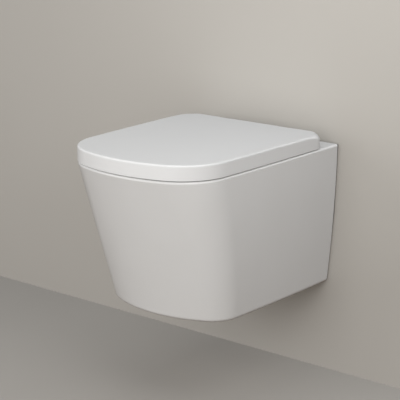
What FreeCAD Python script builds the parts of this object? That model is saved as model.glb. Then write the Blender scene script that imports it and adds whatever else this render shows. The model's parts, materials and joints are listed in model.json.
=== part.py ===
"""A wall hung toilet: a hollow vitreous china pan, its wall fixings, a flush diverter,
and a soft-closing seat and lid on two quick-release hinges.

Frame, in millimetres: X to the right for someone who faces the wall, Y into the wall, Z up.
The origin is midway between the two wall studs, on the pan's flat back.
"""
import FreeCAD, Part
import math
import os
import re
import Sketcher

Vector = FreeCAD.Vector
doc = FreeCAD.newDocument("WallHungToilet")

# ---------------------------------------------------------------- driving sizes
SIZES = [
    # the pan's outside
    ("PanWidth", 360, "across the top, at the wall"),
    ("PanProjection", 490, "from the wall to the front of the rim"),
    ("RimHeight", 78, "from the stud line up to the rim"),
    ("PanHeight", 306, "from the rim down to the underside"),
    ("TopCorner", 108, "radius of the front corners at the rim"),
    ("TopFront", 314, "radius of the front at the rim"),
    ("TopSide", 9860, "radius of the almost straight sides at the rim"),
    ("BaseWidth", 322, "across the underside, at the wall"),
    ("BaseProjection", 390, "from the wall to the front of the underside"),
    ("BaseCorner", 66, "radius of the front corners at the underside"),
    ("BaseFront", 252, "radius of the front at the underside"),
    ("BaseSide", 4970, "radius of the sides at the underside"),
    ("SideBulge", 0.83, "how much the sides swell out between rim and underside"),
    ("FrontHollow", 0.105, "how much the front slope is hollowed"),
    ("RimEdge", 4, "rounding of the china's upper outer edge"),
    ("BaseEdge", 9, "rounding of the china's lower edge"),
    ("BackEdge", 2, "rounding of the china's edge at the wall"),
    # the pan's inside
    ("ShellWall", 10, "thickness of the china skin"),
    ("RimThickness", 14, "thickness of the rim and of the deck behind it"),
    ("BackThickness", 14, "thickness of the flat back"),
    ("RimSide", 42, "width of the rim beside the bowl's mouth"),
    ("RimFront", 35, "width of the rim in front of the mouth"),
    ("DeckDepth", 138, "from the wall to the rear of the mouth"),
    ("EggShift", 13.5, "how much nearer to the wall the mouth's widest place is than its middle"),
    ("BowlDepth", 281, "from the rim down to the bottom of the sump"),
    ("BowlWall", 9, "thickness of the bowl and of the waterways"),
    ("SumpShift", 10, "how much nearer to the wall the sump is than the mouth's widest place"),
    ("MouthEdge", 5, "rounding of the bowl's upper edge"),
    ("TrapBore", 52, "bore of the trap"),
    ("TrapStart", 5, "how far in front of the mouth's widest place the trap starts"),
    ("TrapStartDrop", 62, "from the outlet's axis down to that start"),
    ("TrapDip", 61, "from the mouth's widest place back to the lower bend of the trap"),
    ("TrapDipDrop", 94, "from the outlet's axis down to that bend's corner"),
    ("TrapRise", 72, "from the lower bend back to the upper bend"),
    ("TrapWeirRise", 16, "from the outlet's axis up to that bend's corner"),
    ("TrapEnd", 66, "from the wall to the end of the trap, in the outlet"),
    ("TrapDipRadius", 44, "radius of the lower bend"),
    ("TrapWeirRadius", 52, "radius of the upper bend"),
    ("OutletDrop", 100, "from the stud line down to the outlet's axis"),
    ("OutletDiameter", 102, "outside of the outlet spigot"),
    ("OutletBore", 84, "bore of the outlet spigot"),
    ("OutletSocket", 45, "depth of the ring-shaped space round the spigot"),
    ("OutletSpace", 12, "width of that space"),
    ("OutletStraight", 11, "straight run of the outlet in front of that space"),
    ("OutletTaper", 26, "length over which the outlet narrows to the trap"),
    ("InletRise", 35, "from the stud line up to the flush inlet's axis"),
    ("InletBore", 55, "bore of the flush inlet"),
    ("InletDepth", 70, "depth of the flush inlet"),
    ("ChannelWidth", 60, "width of the flush channel into the bowl"),
    ("ChannelHeight", 22, "height of the flush channel into the bowl"),
    ("ChannelLift", 4, "from the inlet's axis up to the channel's middle"),
    ("ChannelOverlap", 8, "how far the channel starts inside the inlet"),
    ("ChannelReach", 14, "how far the channel's tool reaches past the bowl's rear"),
    # the flush diverter
    ("DiverterGap", 0.4, "between the diverter's spout and the channel"),
    ("SpoutLength", 34, "length of the diverter's spout"),
    ("SpoutWall", 2.4, "thickness of the spout's walls"),
    ("ShieldStandoff", 8, "from the bowl's rear to the diverter's shield"),
    ("ShieldThickness", 5, "thickness of the shield"),
    ("ShieldSide", 7, "how much wider the shield is than the channel, each side"),
    ("ShieldOver", 5, "how much higher the shield is than the channel, each way"),
    ("SpoutWindow", 5, "length of the side windows that let the water out"),
    # wall fixings
    ("StudSpacing", 180, "between the wall studs"),
    ("StudDiameter", 12, "diameter of the wall studs"),
    ("StudBore", 12.4, "bore of the pieces that go on a stud"),
    ("StudHole", 24, "holes for the studs in the china"),
    ("NutPocketWidth", 36, "width of the shafts that lead up to the stud nuts"),
    ("NutPocketDepth", 42, "depth of those shafts, along the studs"),
    ("NutPocketRise", 22, "how far those shafts reach above the stud line"),
    ("SleeveFlange", 3, "thickness of the stud sleeve's flange"),
    ("StudWasherDiameter", 30, "outside of the stud washers"),
    ("StudWasherThickness", 2.5, "thickness of the stud washers"),
    ("StudNutAcross", 19, "stud nuts across their flats"),
    ("StudNutHeight", 10, "height of the stud nuts"),
    ("MatThickness", 3, "thickness of the sound mat between pan and wall"),
    ("MatInset", 1.5, "how far the trimmed mat stays inside the pan's outline"),
    ("MatHoleGap", 4, "how far the mat's holes stay clear of the pipes"),
    # the lid
    ("LidGap", 2, "dark gap between rim and lid"),
    ("LidHeight", 30, "from the lid's lower edge to its top"),
    ("LidSetback", 43.6, "from the wall to the lid's rear"),
    ("LidWall", 3.4, "thickness of the lid"),
    ("LidEdge", 4, "rounding of the lid's upper edge at its front and sides"),
    ("EaseStart", 150, "from the wall to where that rounding starts to grow"),
    ("EaseCorner", 16, "that rounding in the middle of the rear corners"),
    ("LidRearCorner", 35, "radius of the lid's rear corners, seen from above"),
    ("RearRound", 11.5, "rounding of the lid's upper rear edge, round the hinge axis"),
    ("RearFoot", 12, "rounding of the lid's lower rear edge"),
    ("RearOpening", 115, "half width of the part where the lid has no wall under the hinge axis"),
    # the seat
    ("SeatGap", 3, "between rim and seat"),
    ("SeatThickness", 18, "thickness of the seat ring"),
    ("SeatClearance", 2, "between the seat ring and the inside of the lid"),
    ("SeatRear", 104, "from the wall to the seat ring's rear edge"),
    ("SeatSide", 28, "how far the seat reaches over the mouth at its sides"),
    ("SeatFront", 57, "from the front of the rim back to the seat's hole"),
    ("SeatBand", 46, "width of the seat behind its hole"),
    ("SeatEdge", 6, "rounding of the seat's upper edges"),
    ("SeatFoot", 1.5, "rounding of the seat's lower edges"),
    ("ArmOverlap", 9, "how far the seat's hinge arms reach into the ring"),
    ("BufferClearance", 0.3, "between a rubber buffer and what it lands on"),
    ("SeatBufferRadius", 9, "radius of the buffers under the seat"),
    ("LidBufferRadius", 7, "radius of the buffers under the lid"),
    ("BufferRear", 200, "from the wall to the seat's rear buffers"),
    ("BufferFront", 90, "from the front of the rim back to the seat's front buffers"),
    ("BufferRearInset", 40, "from half the pan's width in to those rear buffers"),
    ("BufferFrontInset", 46, "from half the pan's width in to those front buffers"),
    ("LidBufferRear", 160, "from the wall to the lid's rear buffers"),
    ("LidBufferFront", 95, "from the front of the rim back to the lid's front buffers"),
    ("LidBufferRearInset", 36, "from half the pan's width in to those rear buffers"),
    ("LidBufferFrontInset", 48, "from half the pan's width in to those front buffers"),
    # the hinges
    ("HingeSpacing", 155, "between the hinge holes"),
    ("HingeSetback", 78, "from the wall to the hinge holes"),
    ("HingeHole", 15, "hinge holes in the deck"),
    ("HingeBoss", 36, "outside of the china bosses round the hinge holes"),
    ("HingeBossDepth", 28, "depth of those bosses, from the rim"),
    ("BaseSealThickness", 1, "rubber ring under a hinge base"),
    ("HingeBaseRadius", 17, "radius of a hinge base"),
    ("HingeBaseThickness", 3, "thickness of a hinge base"),
    ("SpigotRadius", 6, "radius of the spigot on a hinge base"),
    ("SpigotHeight", 7.5, "height of that spigot"),
    ("GrooveRadius", 4, "radius at the spigot's latch groove"),
    ("GrooveRise", 2.4, "from the base to the latch groove"),
    ("GrooveHeight", 2.6, "height of the latch groove"),
    ("ScrewDiameter", 6, "diameter of the hinge screws"),
    ("ScrewLength", 52, "length of the hinge screws"),
    ("ScrewHead", 1.6, "how much larger a hinge screw's head is than its shank, in radius"),
    ("ExpansionNut", 6, "height of the nut under an expansion bush"),
    ("ScrewEnd", 1, "how far a hinge screw stands out of that nut"),
    ("BushBulge", 1.5, "how far a tightened bush bulges under its boss, in radius"),
    ("BlockWidth", 30, "width of a hinge block"),
    ("BlockLift", 0.3, "between a hinge block and its base"),
    ("LegSetback", 2.1, "how far the rear of a hinge block's leg stays in front of the hinge axis"),
    ("LegWall", 1.7, "thickness of that leg behind the latch"),
    ("BlockSlope", 8, "length of the slope from a hinge block's top up to its barrel"),
    ("BlockTop", 92, "height of the block's flat top above the stud line"),
    ("BarrelRadius", 7.5, "radius of the hinge barrels and lugs"),
    ("DamperRadius", 6, "radius of the dampers"),
    ("DamperLength", 26, "length of the dampers"),
    ("JournalRadius", 3.5, "radius of the drive shafts in the dampers"),
    ("JournalDepth", 7, "depth of a damper's bore"),
    ("JournalEnd", 0.2, "between a drive shaft's end and the bottom of that bore"),
    ("DriveSquare", 5, "side of the square on a drive shaft"),
    ("PivotRadius", 3, "radius of the pivot pins"),
    ("PivotHead", 1.8, "thickness of a pivot pin's head"),
    ("LugGap", 1, "between a lug and the hinge block beside it"),
    ("SeatLugWidth", 20, "width of the seat's lugs"),
    ("LidLugWidth", 18, "width of the lid's lugs"),
    ("PinGap", 1.2, "between a pin's end and its lug's far face"),
    ("RunningGap", 0.05, "radial clearance where one piece turns or slides in another"),
    # the release buttons
    ("ButtonTravel", 3, "how far a release button is pushed in"),
    ("ButtonWidth", 17.6, "width of a release button"),
    ("ButtonHeight", 6.4, "height of a release button"),
    ("ButtonProud", 4, "how far a release button stands out of its block"),
    ("ButtonDepth", 9.5, "depth of a release button"),
    ("ButtonLift", 0.9, "from a latch plate's middle up to its button's middle"),
    ("ButtonGap", 0.3, "clearance round a release button and its latch plate"),
    ("LatchWidth", 15.8, "width of a latch plate"),
    ("LatchThickness", 2, "thickness of a latch plate"),
    ("LatchRear", 2, "width of a latch plate behind the spigot's groove"),
    ("SpringRadius", 0.9, "radius of a button spring"),
]

sheet = doc.addObject("Spreadsheet::Sheet", "Sizes")
for row, (name, number, meaning) in enumerate(SIZES, start=1):
    sheet.set(f"A{row}", name)
    sheet.set(f"B{row}", str(number))
    sheet.set(f"C{row}", meaning)
    sheet.setAlias(f"B{row}", name)
doc.recompute()

NAMES = re.compile(r"\b(" + "|".join(name for name, _, _ in SIZES) + r")\b")


def bound(expression):
    """The expression as the document reads it, with each size looked up in the sheet."""
    return NAMES.sub(r"Sizes.\1", str(expression))


def value(expression):
    """What an expression on the sizes comes to."""
    return float(sheet.evalExpression(bound(expression)))


# ---------------------------------------------------------------- places that pieces share
LID_BOTTOM = "(RimHeight + LidGap)"
LID_TOP = "(RimHeight + LidGap + LidHeight)"
AXIS_Y = "(-LidSetback - RearRound)"
AXIS_Z = "(RimHeight + LidGap + LidHeight - RearRound)"
SEAT_BOTTOM = "(RimHeight + SeatGap)"
SEAT_TOP = "(RimHeight + SeatGap + SeatThickness)"
SEAT_INSET = "(LidWall + SeatClearance)"
HINGE_X = "(HingeSpacing / 2)"
HINGE_Y = "(-HingeSetback)"
BASE_BOTTOM = "(RimHeight + BaseSealThickness)"
BASE_TOP = "(RimHeight + BaseSealThickness + HingeBaseThickness)"
BLOCK_BOTTOM = "(RimHeight + BaseSealThickness + HingeBaseThickness + BlockLift)"
LEG_REAR = "(-LidSetback - RearRound - LegSetback)"
BLOCK_FRONT = "(-HingeSetback - HingeBaseRadius)"
BLOCK_INNER = "(HingeSpacing / 2 - BlockWidth / 2)"
BLOCK_OUTER = "(HingeSpacing / 2 + BlockWidth / 2)"
GROOVE_MIDDLE = "(RimHeight + BaseSealThickness + HingeBaseThickness + GrooveRise + GrooveHeight / 2)"
LATCH_END = "(-HingeSetback + GrooveRadius + LatchRear)"
DAMPER_START = "(HingeSpacing / 2 - DamperLength / 2)"
DAMPER_END = "(HingeSpacing / 2 + DamperLength / 2)"
CHANNEL_LOW = "(InletRise + ChannelLift - ChannelHeight / 2)"
CHANNEL_HIGH = "(InletRise + ChannelLift + ChannelHeight / 2)"
BOWL_HALF = "(PanWidth / 2 - RimSide)"
BOWL_CENTRE = "((PanProjection - RimFront + DeckDepth) / 2 - EggShift)"
BOWL_FRONT = "((PanProjection - RimFront - DeckDepth) / 2 + EggShift)"
BOWL_REAR = "((PanProjection - RimFront - DeckDepth) / 2 - EggShift)"
SEAT_HOLE_HALF = "(PanWidth / 2 - RimSide - SeatSide)"
SEAT_HOLE_FRONT = "(PanProjection - SeatFront)"
SEAT_HOLE_REAR = "(SeatRear + SeatBand)"


# ---------------------------------------------------------------- helpers for sketched bodies
def new_body(label):
    made = doc.addObject("PartDesign::Body", label)
    made.Label = label
    return made


def new_sketch(body, plane, offset="0", shift=None):
    """A sketch on one of the body's own planes, moved along the plane's normal by offset."""
    sketch = body.newObject("Sketcher::SketchObject", "Sketch")
    support = [f for f in body.Origin.OriginFeatures if f.Role == plane][0]
    sketch.AttachmentSupport = [(support, "")]
    sketch.MapMode = "FlatFace"
    sketch.setExpression("AttachmentOffset.Base.z", bound(offset))
    if shift:
        sketch.setExpression("AttachmentOffset.Base.x", bound(shift[0]))
        sketch.setExpression("AttachmentOffset.Base.y", bound(shift[1]))
    return sketch


def constrain(sketch, kind, *where, size=None):
    """One constraint, tied to the sheet where it has a size."""
    if size is None:
        sketch.addConstraint(Sketcher.Constraint(kind, *where))
        return
    number = sketch.addConstraint(Sketcher.Constraint(kind, *where, value(size)))
    sketch.setExpression(f"Constraints[{number}]", bound(size))


def place(sketch, geometry, point, x, y):
    """Holds a point of the sketch at x, y, each an expression."""
    for kind, size, axis in (("DistanceX", x, -2), ("DistanceY", y, -1)):
        if str(size) == "0":
            constrain(sketch, "PointOnObject", geometry, point, axis)
        else:
            constrain(sketch, kind, -1, 1, geometry, point, size=size)


def draw_circle(sketch, x, y, radius):
    centre = Vector(value(x), value(y), 0)
    number = sketch.addGeometry(Part.Circle(centre, Vector(0, 0, 1), value(radius)))
    place(sketch, number, 3, x, y)
    constrain(sketch, "Radius", number, size=radius)


def draw_polygon(sketch, points):
    """A closed outline of straight lines through points, each a pair of expressions."""
    places = [Vector(value(x), value(y), 0) for x, y in points]
    lines = [
        sketch.addGeometry(Part.LineSegment(a, b))
        for a, b in zip(places, places[1:] + places[:1])
    ]
    for line, following in zip(lines, lines[1:] + lines[:1]):
        constrain(sketch, "Coincident", line, 2, following, 1)
    for line, (x, y) in zip(lines, points):
        place(sketch, line, 1, x, y)


def draw_rectangle(sketch, x_low, x_high, y_low, y_high):
    draw_polygon(sketch, [(x_low, y_low), (x_high, y_low), (x_high, y_high), (x_low, y_high)])


def draw_arcs(sketch, arcs, joins):
    """Arcs given as (centre, radius, first angle, last angle), counter-clockwise, and straight
    lines between ends, given in joins as (geometry, end, geometry, end) numbers to be tangent."""
    numbers = []
    for centre, radius, first, last in arcs:
        circle = Part.Circle(centre, Vector(0, 0, 1), radius)
        numbers.append(sketch.addGeometry(Part.ArcOfCircle(circle, first, last)))
    for a, end, b, start in joins:
        constrain(sketch, "Tangent", numbers[a], end, numbers[b], start)
    return numbers


def front_meeting(first, first_radius, second, second_radius):
    """Where two circles cross, nearer to the pan's front."""
    along = second - first
    gap = along.Length
    share = (gap**2 + first_radius**2 - second_radius**2) / (2 * gap)
    rise = math.sqrt(max(first_radius**2 - share**2, 0))
    along.normalize()
    across = Vector(along.y, -along.x, 0) * rise
    return min((first + along * share + side for side in (across, -across)), key=lambda p: p.y)


def angle_of(point, centre):
    return math.atan2(point.y - centre.y, point.x - centre.x)


class Outline:
    """The lid's D-shaped outline: almost straight sides, round corners and a round front.
    All its arcs keep their centres when it is inset, so insets are true offsets."""

    def __init__(self, inset, back, rear_corner):
        self.inset = value(inset)
        self.back = value(back)
        self.rear = value(rear_corner)
        self.side_centre = Vector(value("PanWidth / 2 - TopSide"), 0, 0)
        self.front_centre = Vector(0, value("TopFront - PanProjection"), 0)
        side, front, corner = value("TopSide"), value("TopFront"), value("TopCorner")
        self.corner_centre = front_meeting(
            self.front_centre, front - corner, self.side_centre, side - corner
        )
        self.side_radius = side - self.inset
        self.front_radius = front - self.inset
        self.corner_radius = corner - self.inset
        reach = self.side_radius - self.rear
        height = self.back - self.rear
        self.rear_centre = self.side_centre + Vector(math.sqrt(reach**2 - height**2), height, 0)


def draw_outline(sketch, inset, back, rear_corner):
    """The lid's outline, moved in by inset, closed by a straight back with round rear corners."""
    shape = Outline(inset, back, rear_corner)
    mirrored = lambda centre: Vector(-centre.x, centre.y, 0)
    front_side = (shape.corner_centre - shape.front_centre).normalize()
    front_angle = math.atan2(front_side.y, front_side.x)
    joint_angle = angle_of(shape.corner_centre, shape.side_centre)
    rear_angle = angle_of(shape.rear_centre, shape.side_centre)
    quarter = math.pi / 2
    arcs = [
        (shape.front_centre, shape.front_radius, math.pi - front_angle, 2 * math.pi + front_angle),
        (shape.corner_centre, shape.corner_radius, front_angle, joint_angle),
        (shape.side_centre, shape.side_radius, joint_angle, rear_angle),
        (shape.rear_centre, shape.rear, rear_angle, quarter),
        (mirrored(shape.rear_centre), shape.rear, quarter, math.pi - rear_angle),
        (mirrored(shape.side_centre), shape.side_radius, math.pi - rear_angle, math.pi - joint_angle),
        (mirrored(shape.corner_centre), shape.corner_radius, math.pi - joint_angle, math.pi - front_angle),
    ]
    joins = [(0, 2, 1, 1), (1, 2, 2, 1), (2, 2, 3, 1), (4, 2, 5, 1), (5, 2, 6, 1), (6, 2, 0, 1)]
    front, corner, side, rear, rear_left, side_left, corner_left = draw_arcs(sketch, arcs, joins)
    start = shape.rear_centre + Vector(0, shape.rear, 0)
    back_line = sketch.addGeometry(Part.LineSegment(start, mirrored(start)))
    constrain(sketch, "Tangent", rear, 2, back_line, 1)
    constrain(sketch, "Tangent", back_line, 2, rear_left, 1)
    constrain(sketch, "DistanceY", -1, 1, back_line, 1, size=back)
    constrain(sketch, "Horizontal", back_line)
    place(sketch, front, 3, "0", "TopFront - PanProjection")
    place(sketch, side, 3, "PanWidth / 2 - TopSide", "0")
    place(sketch, side_left, 3, "TopSide - PanWidth / 2", "0")
    for arc, size in (
        (front, f"TopFront - {inset}"),
        (corner, f"TopCorner - {inset}"),
        (corner_left, f"TopCorner - {inset}"),
        (side, f"TopSide - {inset}"),
        (side_left, f"TopSide - {inset}"),
        (rear, rear_corner),
        (rear_left, rear_corner),
    ):
        constrain(sketch, "Radius", arc, size=size)


def draw_seat_hole(sketch):
    """The seat's hole: two half circles joined by straight sides."""
    half = value(SEAT_HOLE_HALF)
    front_centre = Vector(0, half - value(SEAT_HOLE_FRONT), 0)
    rear_centre = Vector(0, -half - value(SEAT_HOLE_REAR), 0)
    arcs = [(front_centre, half, math.pi, 2 * math.pi), (rear_centre, half, 0, math.pi)]
    lower, upper = draw_arcs(sketch, arcs, [])
    across = Vector(half, 0, 0)
    right = sketch.addGeometry(Part.LineSegment(front_centre + across, rear_centre + across))
    left = sketch.addGeometry(Part.LineSegment(rear_centre - across, front_centre - across))
    for a, b in ((lower, right), (right, upper), (upper, left), (left, lower)):
        constrain(sketch, "Tangent", a, 2, b, 1)
    place(sketch, lower, 3, "0", f"{SEAT_HOLE_HALF} - {SEAT_HOLE_FRONT}")
    place(sketch, upper, 3, "0", f"-1 * {SEAT_HOLE_HALF} - {SEAT_HOLE_REAR}")
    constrain(sketch, "Radius", lower, size=SEAT_HOLE_HALF)
    constrain(sketch, "Equal", lower, upper)


def solve(sketch):
    doc.recompute()
    if sketch.solve() != 0:
        raise RuntimeError(f"{sketch.Name} isn't solved")
    return sketch


def add(body, kind, sketch, length, forward=True):
    """A Pad or Pocket of a sketch along its normal, or against it where forward is false."""
    before = body.Shape.Volume if body.Tip else 0
    feature = body.newObject(f"PartDesign::{kind}", kind)
    feature.Profile = solve(sketch)
    sketch.Visibility = False
    feature.setExpression("Length", bound(length))
    feature.Reversed = forward if kind == "Pocket" else not forward
    doc.recompute()
    grown = body.Shape.Volume - before
    if (grown <= 0) if kind == "Pad" else (grown >= 0):
        raise RuntimeError(f"a {kind} in {body.Label} changes nothing")
    return feature


def turn(body, sketch, axis):
    feature = body.newObject("PartDesign::Revolution", "Revolution")
    feature.Profile = solve(sketch)
    feature.ReferenceAxis = (sketch, [axis])
    feature.Angle = 360
    sketch.Visibility = False
    doc.recompute()
    return feature


def round_edges(body, radius, wanted, kind="Fillet"):
    """Rounds or bevels the edges of the body's last feature whose box passes the test wanted."""
    base = body.Tip
    names = [
        f"Edge{number}"
        for number, edge in enumerate(base.Shape.Edges, start=1)
        if wanted(edge.BoundBox)
    ]
    if not names:
        raise RuntimeError(f"no edge to round in {body.Label}")
    feature = body.newObject(f"PartDesign::{kind}", kind)
    feature.Base = (base, names)
    feature.setExpression("Radius" if kind == "Fillet" else "Size", bound(radius))
    doc.recompute()
    return feature


def at_height(height, slack=0.01):
    """A test for edges that lie flat at one height."""
    level = value(height)
    return lambda box: abs(box.ZMin - level) < slack and abs(box.ZMax - level) < slack


def turned_body(label, x, y, profile):
    """A body turned about an upright axis at x, y: profile holds (radius, height) expressions."""
    body = new_body(label)
    sketch = new_sketch(body, "XZ_Plane", f"-1 * {y}", (x, "0"))
    draw_polygon(sketch, profile)
    turn(body, sketch, "V_Axis")
    return body


def stud_body(label, profile):
    """A body turned about the right-hand stud's axis: profile holds (radius, y) expressions."""
    body = new_body(label)
    sketch = new_sketch(body, "XY_Plane", "0", ("StudSpacing / 2", "0"))
    draw_polygon(sketch, profile)
    turn(body, sketch, "V_Axis")
    return body


def round_bar(body, start, length, radius):
    """A round bar along the hinge axis, from x = start."""
    sketch = new_sketch(body, "YZ_Plane", start)
    draw_circle(sketch, AXIS_Y, AXIS_Z, radius)
    return add(body, "Pad", sketch, length)


def mirror_image(label, source):
    """The left-hand copy of a right-hand piece."""
    made = doc.addObject("Part::Mirroring", label)
    made.Label = label
    made.Source = source
    made.Normal = Vector(1, 0, 0)
    made.Base = Vector(0, 0, 0)
    return made


def pair(label, right):
    """The right-hand piece and its left-hand copy in one group."""
    made = doc.addObject("Part::Compound", label)
    made.Label = label
    made.Links = [right, mirror_image(f"{label}_left", right)]
    return made


# ---------------------------------------------------------------- the china pan
def skin_wire(share, height, inset, back):
    """The pan's outline at a share of the way from rim (0) to underside (1), moved in by inset."""
    swell = share - value("SideBulge") * share * (1 - share)
    slope = share + value("FrontHollow") * share * (1 - share)

    def between(top, base, part=share):
        return value(top) + (value(base) - value(top)) * part

    half = between("PanWidth", "BaseWidth", swell) / 2
    projection = between("PanProjection", "BaseProjection", slope)
    corner = between("TopCorner", "BaseCorner")
    front = between("TopFront", "BaseFront")
    side = between("TopSide", "BaseSide")
    side_centre = Vector(half - side, 0, 0)
    front_centre = Vector(0, front - projection, 0)
    corner_centre = front_meeting(side_centre, side - corner, front_centre, front - corner)
    side, front, corner = side - inset, front - inset, corner - inset
    towards_front = (corner_centre - front_centre).normalize()
    towards_corner = (corner_centre - side_centre).normalize()
    start = side_centre + Vector(math.sqrt(side**2 - back**2), back, 0)
    joint = corner_centre + towards_corner * corner
    turn_in = corner_centre + towards_front * corner
    tip = Vector(0, front_centre.y - front, 0)
    middle_angle = (math.atan2(towards_front.y, towards_front.x) + angle_of(joint, corner_centre)) / 2
    corner_middle = corner_centre + Vector(math.cos(middle_angle), math.sin(middle_angle), 0) * corner
    side_angle = (angle_of(start, side_centre) + angle_of(joint, side_centre)) / 2
    side_middle = side_centre + Vector(math.cos(side_angle), math.sin(side_angle), 0) * side

    def at(point, sign=1):
        return Vector(sign * point.x, point.y, height)

    edges = [Part.LineSegment(at(start, -1), at(start)).toShape()]
    edges.append(Part.Arc(at(start), at(side_middle), at(joint)).toShape())
    edges.append(Part.Arc(at(joint), at(corner_middle), at(turn_in)).toShape())
    edges.append(Part.Arc(at(turn_in), at(tip), at(turn_in, -1)).toShape())
    edges.append(Part.Arc(at(turn_in, -1), at(corner_middle, -1), at(joint, -1)).toShape())
    edges.append(Part.Arc(at(joint, -1), at(side_middle, -1), at(start, -1)).toShape())
    return Part.Wire(edges)


def skin_solid(top, base, inset, back):
    """The pan's outer form, moved in by inset, between two heights."""
    rim, depth, levels = value("RimHeight"), value("PanHeight"), 6
    heights = [top + (base - top) * step / levels for step in range(levels + 1)]
    return Part.makeLoft([skin_wire((rim - z) / depth, z, inset, back) for z in heights], True)


# how the bowl narrows with depth: (share of its depth, share of its mouth)
BOWL_SHARES = (
    (0, 0.972),
    (0.035, 0.978),
    (0.11, 1.0),
    (0.24, 0.985),
    (0.42, 0.88),
    (0.6, 0.69),
    (0.78, 0.46),
    (1, 0.3),
)


def egg_wire(centre_y, half_width, front, rear, height):
    """An egg-shaped outline: half an ellipse in front of its centre, half another behind."""
    halves = []
    for reach, turned in ((front, math.pi), (rear, 0)):
        wide = Part.Ellipse(Vector(0, centre_y, height), max(half_width, reach), min(half_width, reach))
        wide.AngleXU = 0 if half_width >= reach else math.pi / 2
        first = turned - wide.AngleXU
        halves.append(Part.ArcOfEllipse(wide, first, first + math.pi).toShape())
    return Part.Wire(halves)


def bowl_solid(wall):
    """The inside of the bowl, or with a wall its outside."""
    rim, depth = value("RimHeight"), value("BowlDepth")
    wires = []
    for down, across in BOWL_SHARES:
        centre = -value(BOWL_CENTRE) + value("SumpShift") * down
        grown = [value(size) * across + wall for size in (BOWL_HALF, BOWL_FRONT, BOWL_REAR)]
        wires.append(egg_wire(centre, *grown, rim - depth * down - (wall if down == 1 else 0)))
    return Part.makeLoft(wires, True)


def trap_path():
    """The trap's centre line: out of the sump, down under the dip, up over the weir, and back."""
    places = (
        (f"-1 * {BOWL_CENTRE} - TrapStart", "-OutletDrop - TrapStartDrop"),
        (f"-1 * {BOWL_CENTRE} + TrapDip", "-OutletDrop - TrapDipDrop"),
        (f"-1 * {BOWL_CENTRE} + TrapDip + TrapRise", "-OutletDrop + TrapWeirRise"),
        ("-TrapEnd", "-OutletDrop"),
    )
    corners = [Vector(0, value(y), value(z)) for y, z in places]
    radii = (value("TrapDipRadius"), value("TrapWeirRadius"))
    edges, last = [], corners[0]
    for before, corner, after, radius in zip(corners, corners[1:], corners[2:], radii):
        inward = (before - corner).normalize()
        outward = (after - corner).normalize()
        half_turn = inward.getAngle(outward) / 2
        run = radius / math.tan(half_turn)
        start, end = corner + inward * run, corner + outward * run
        centre = corner + (inward + outward).normalize() * (radius / math.sin(half_turn))
        middle = centre + (corner - centre).normalize() * radius
        edges.append(Part.LineSegment(last, start).toShape())
        edges.append(Part.Arc(start, middle, end).toShape())
        last = end
    edges.append(Part.LineSegment(last, corners[-1]).toShape())
    return Part.Wire(edges)


def trap_solid(radius):
    path = trap_path()
    start = path.Vertexes[0].Point
    direction = path.Edges[0].tangentAt(path.Edges[0].FirstParameter)
    circle = Part.Wire(Part.makeCircle(radius, start, direction))
    return path.makePipeShell([circle], True, False)


def back_cylinder(radius, height, depth, x=0.0, start=0.0):
    """A cylinder from the pan's back at x, height, reaching depth into the pan from start."""
    return Part.makeCylinder(radius, depth, Vector(x, -start, height), Vector(0, -1, 0))


def outlet_solid(radius, narrow):
    """The outlet horn: straight, then narrowing to the trap."""
    height, straight = value("-OutletDrop"), value("OutletSocket + OutletStraight")
    tube = back_cylinder(radius, height, straight)
    end = Vector(0, -straight, height)
    taper = Part.makeCone(radius, narrow, value("OutletTaper"), end, Vector(0, -1, 0))
    return tube.fuse(taper)


def channel_solid(wall):
    """The flush channel from the inlet to the bowl, with a wall its outside."""
    width, height = value("ChannelWidth") + 2 * wall, value("ChannelHeight") + 2 * wall
    start = value("InletDepth - ChannelOverlap")
    reach = value("DeckDepth + ChannelReach") - start
    low = value(CHANNEL_LOW) - wall
    return Part.makeBox(width, reach, height, Vector(-width / 2, -start - reach, low))


def nut_shaft(side, wall):
    """The upright shaft from the underside to a stud nut, with a wall its outside."""
    width = value("NutPocketWidth") + 2 * wall
    depth = value("NutPocketDepth") + wall
    back = value("BackThickness")
    base, top = value("RimHeight - PanHeight") - 1, value("NutPocketRise") + wall
    corner = Vector(side * value("StudSpacing") / 2 - width / 2, -back - depth, base)
    return Part.makeBox(width, depth + (back if wall else 0), top - base, corner)


def rounded(solid, radius, wanted):
    edges = [edge for edge in solid.Edges if wanted(edge.BoundBox)]
    return solid.makeFillet(radius, edges)


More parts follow.
